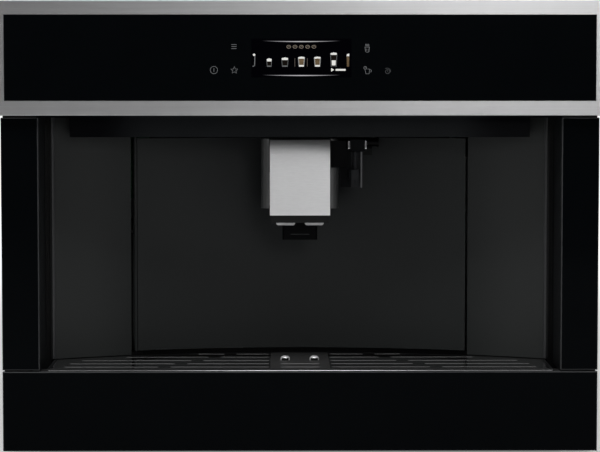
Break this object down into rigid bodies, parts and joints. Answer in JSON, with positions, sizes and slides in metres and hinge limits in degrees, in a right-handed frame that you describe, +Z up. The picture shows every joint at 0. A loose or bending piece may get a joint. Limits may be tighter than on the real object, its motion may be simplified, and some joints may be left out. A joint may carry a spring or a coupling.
{
  "type": "built-in coffee machine",
  "caption": "Built-in bean-to-cup coffee machine on pull-out rails, with a curved cup niche, service door, height-adjustable spout, drip tray and side water tank.",
  "frame": {"origin": "middle of the footprint, at the underside of the base frame", "axes": "+Z up, the front faces -Y, +X to the right seen from the front"},
  "size_m": [0.595, 0.361, 0.455],
  "materials": {
    "steel_brushed": "brushed along X",
    "glass_black": "polished, black behind",
    "liner_black": "satin black",
    "liner_gloss": "gloss black",
    "tray_black": "satin to gloss black",
    "grid_black": "gloss black with light slot edges",
    "guide_grey": "satin grey",
    "chrome_trim": "polished",
    "float_metal": "polished cap on a dark stem",
    "spout_black": "satin black",
    "sheet_steel": "galvanised sheet",
    "rail_steel": "zinc plated",
    "screw_steel": "zinc plated",
    "plastic_black": "moulded",
    "plastic_grey": "moulded",
    "tank_clear": "clear tinted",
    "hopper_smoke": "smoked clear",
    "board_green": "circuit board",
    "alloy": "cast",
    "brass_pump": "pump body",
    "hose_clear": "silicone hose",
    "burr_steel": "ground",
    "lamp_white": "diffuser"
  },
  "bodies": {
    "base": {"base_frame": "sheet_steel", "base_rails": "rail_steel", "base_screws": "screw_steel"},
    "rail_middle": {"rail_middles": "rail_steel"},
    "machine": {"rail_runners": "rail_steel", "chassis_floor": "sheet_steel", "side_panel_left": "sheet_steel", "side_panel_right": "sheet_steel", "back_panel": "sheet_steel", "top_cover": "sheet_steel", "housing_screws": "screw_steel", "front_frame": "plastic_black", "column_glasses": "glass_black", "lower_glass": "glass_black", "panel_frame": "steel_brushed", "panel_glass": "glass_black", "display_module": "board_green", "niche_sides": "liner_gloss", "niche_wall_left": "liner_black", "niche_wall_right": "liner_black", "hood": "liner_gloss", "hood_lamps": "lamp_white", "tray_well": "liner_black", "component_deck": "sheet_steel", "tank_dock": "plastic_black", "brew_frame": "plastic_grey", "brew_motor": "plastic_black", "grounds_container": "plastic_black", "grinder_housing": "plastic_black", "bean_hopper": "hopper_smoke", "coffee_funnel": "plastic_black", "thermoblock": "alloy", "steam_boiler": "alloy", "pump": "brass_pump", "power_board": "board_green", "water_hoses": "hose_clear", "mains_inlet": "plastic_black"},
    "service_door": {"service_door": "liner_black", "spout_guide": "guide_grey", "coffee_feed_tube": "hose_clear", "steam_connector": "spout_black"},
    "coffee_spout": {"spout_cover": "steel_brushed", "spout_body": "spout_black", "nozzle_block": "spout_black", "spout_outlets": "chrome_trim"},
    "hot_water_spout": {"hot_water_spout": "plastic_black"},
    "release_button_left": {"release_button_left": "chrome_trim"},
    "release_button_right": {"release_button_right": "chrome_trim"},
    "drip_tray": {"drip_pan": "tray_black"},
    "cup_grid": {"cup_grid": "grid_black"},
    "level_floats": {"level_floats": "float_metal"},
    "bean_lid": {"bean_lid": "hopper_smoke"},
    "funnel_lid": {"funnel_lid": "plastic_black"},
    "grind_knob": {"grind_knob": "plastic_black"},
    "water_tank": {"water_tank": "tank_clear"},
    "tank_lid": {"tank_lid": "plastic_black"},
    "infuser_door": {"infuser_door": "plastic_black"},
    "power_switch": {"power_switch": "plastic_black"},
    "brew_piston": {"brew_piston": "plastic_grey"},
    "grinder_burr": {"grinder_burr": "burr_steel"}
  },
  "joints": [
    {"name": "pull_out", "type": "slide", "parent": "base", "child": "machine", "axis": [0, -1, 0], "range_m": [0, 0.26]},
    {"name": "rail_extend", "type": "slide", "parent": "base", "child": "rail_middle", "axis": [0, -1, 0], "range_m": [0, 0.13]},
    {"name": "door_hinge", "type": "hinge", "parent": "machine", "child": "service_door", "pos_m": [-0.1708, -0.05502, 0.2], "axis": [0, 0, 1], "range_deg": [-90, 0]},
    {"name": "spout_height", "type": "slide", "parent": "service_door", "child": "coffee_spout", "axis": [0, 0, -1], "range_m": [0, 0.05]},
    {"name": "hot_water_pull", "type": "slide", "parent": "service_door", "child": "hot_water_spout", "axis": [0, -1, 0], "range_m": [0, 0.03]},
    {"name": "button_left_press", "type": "slide", "parent": "hot_water_spout", "child": "release_button_left", "axis": [1, 0, 0], "range_m": [0, 0.0015], "stiffness_N_per_m": 300},
    {"name": "button_right_press", "type": "slide", "parent": "hot_water_spout", "child": "release_button_right", "axis": [-1, 0, 0], "range_m": [0, 0.0015], "stiffness_N_per_m": 300},
    {"name": "tray_lift", "type": "slide", "parent": "machine", "child": "drip_tray", "axis": [0, 0, 1], "range_m": [0, 0.04]},
    {"name": "grid_lift", "type": "slide", "parent": "drip_tray", "child": "cup_grid", "axis": [0, 0, 1], "range_m": [0, 0.02]},
    {"name": "float_rise", "type": "slide", "parent": "drip_tray", "child": "level_floats", "axis": [0, 0, 1], "range_m": [0, 0.005]},
    {"name": "bean_lid_hinge", "type": "hinge", "parent": "machine", "child": "bean_lid", "pos_m": [0.219, 0.148, 0.4434], "axis": [-1, 0, 0], "range_deg": [0, 95]},
    {"name": "funnel_lid_hinge", "type": "hinge", "parent": "machine", "child": "funnel_lid", "pos_m": [0.149, 0.088, 0.4434], "axis": [-1, 0, 0], "range_deg": [0, 95]},
    {"name": "grind_adjust", "type": "hinge", "parent": "machine", "child": "grind_knob", "pos_m": [0.15, 0.02, 0.44], "axis": [0, 0, 1], "range_deg": [-150, 150]},
    {"name": "tank_pull", "type": "slide", "parent": "machine", "child": "water_tank", "axis": [-1, 0, 0], "range_m": [0, 0.12]},
    {"name": "tank_lid_lift", "type": "slide", "parent": "water_tank", "child": "tank_lid", "axis": [0, 0, 1], "range_m": [0, 0.02]},
    {"name": "infuser_door_hinge", "type": "hinge", "parent": "machine", "child": "infuser_door", "pos_m": [0.2745, 0.124, 0.175], "axis": [0, 0, 1], "range_deg": [0, 95]},
    {"name": "power_rocker", "type": "hinge", "parent": "machine", "child": "power_switch", "pos_m": [0.236, 0.1715, 0.094], "axis": [-1, 0, 0], "range_deg": [0, 16]},
    {"name": "piston_press", "type": "slide", "parent": "machine", "child": "brew_piston", "axis": [0, 0, -1], "range_m": [0, 0.018]},
    {"name": "burr_spin", "type": "hinge", "parent": "machine", "child": "grinder_burr", "pos_m": [0.215, 0.06, 0.3183], "axis": [0, 0, 1], "continuous": true}
  ],
  "couplings": [
    {"joint": "rail_extend", "follows": "pull_out", "ratio": 0.5}
  ]
}
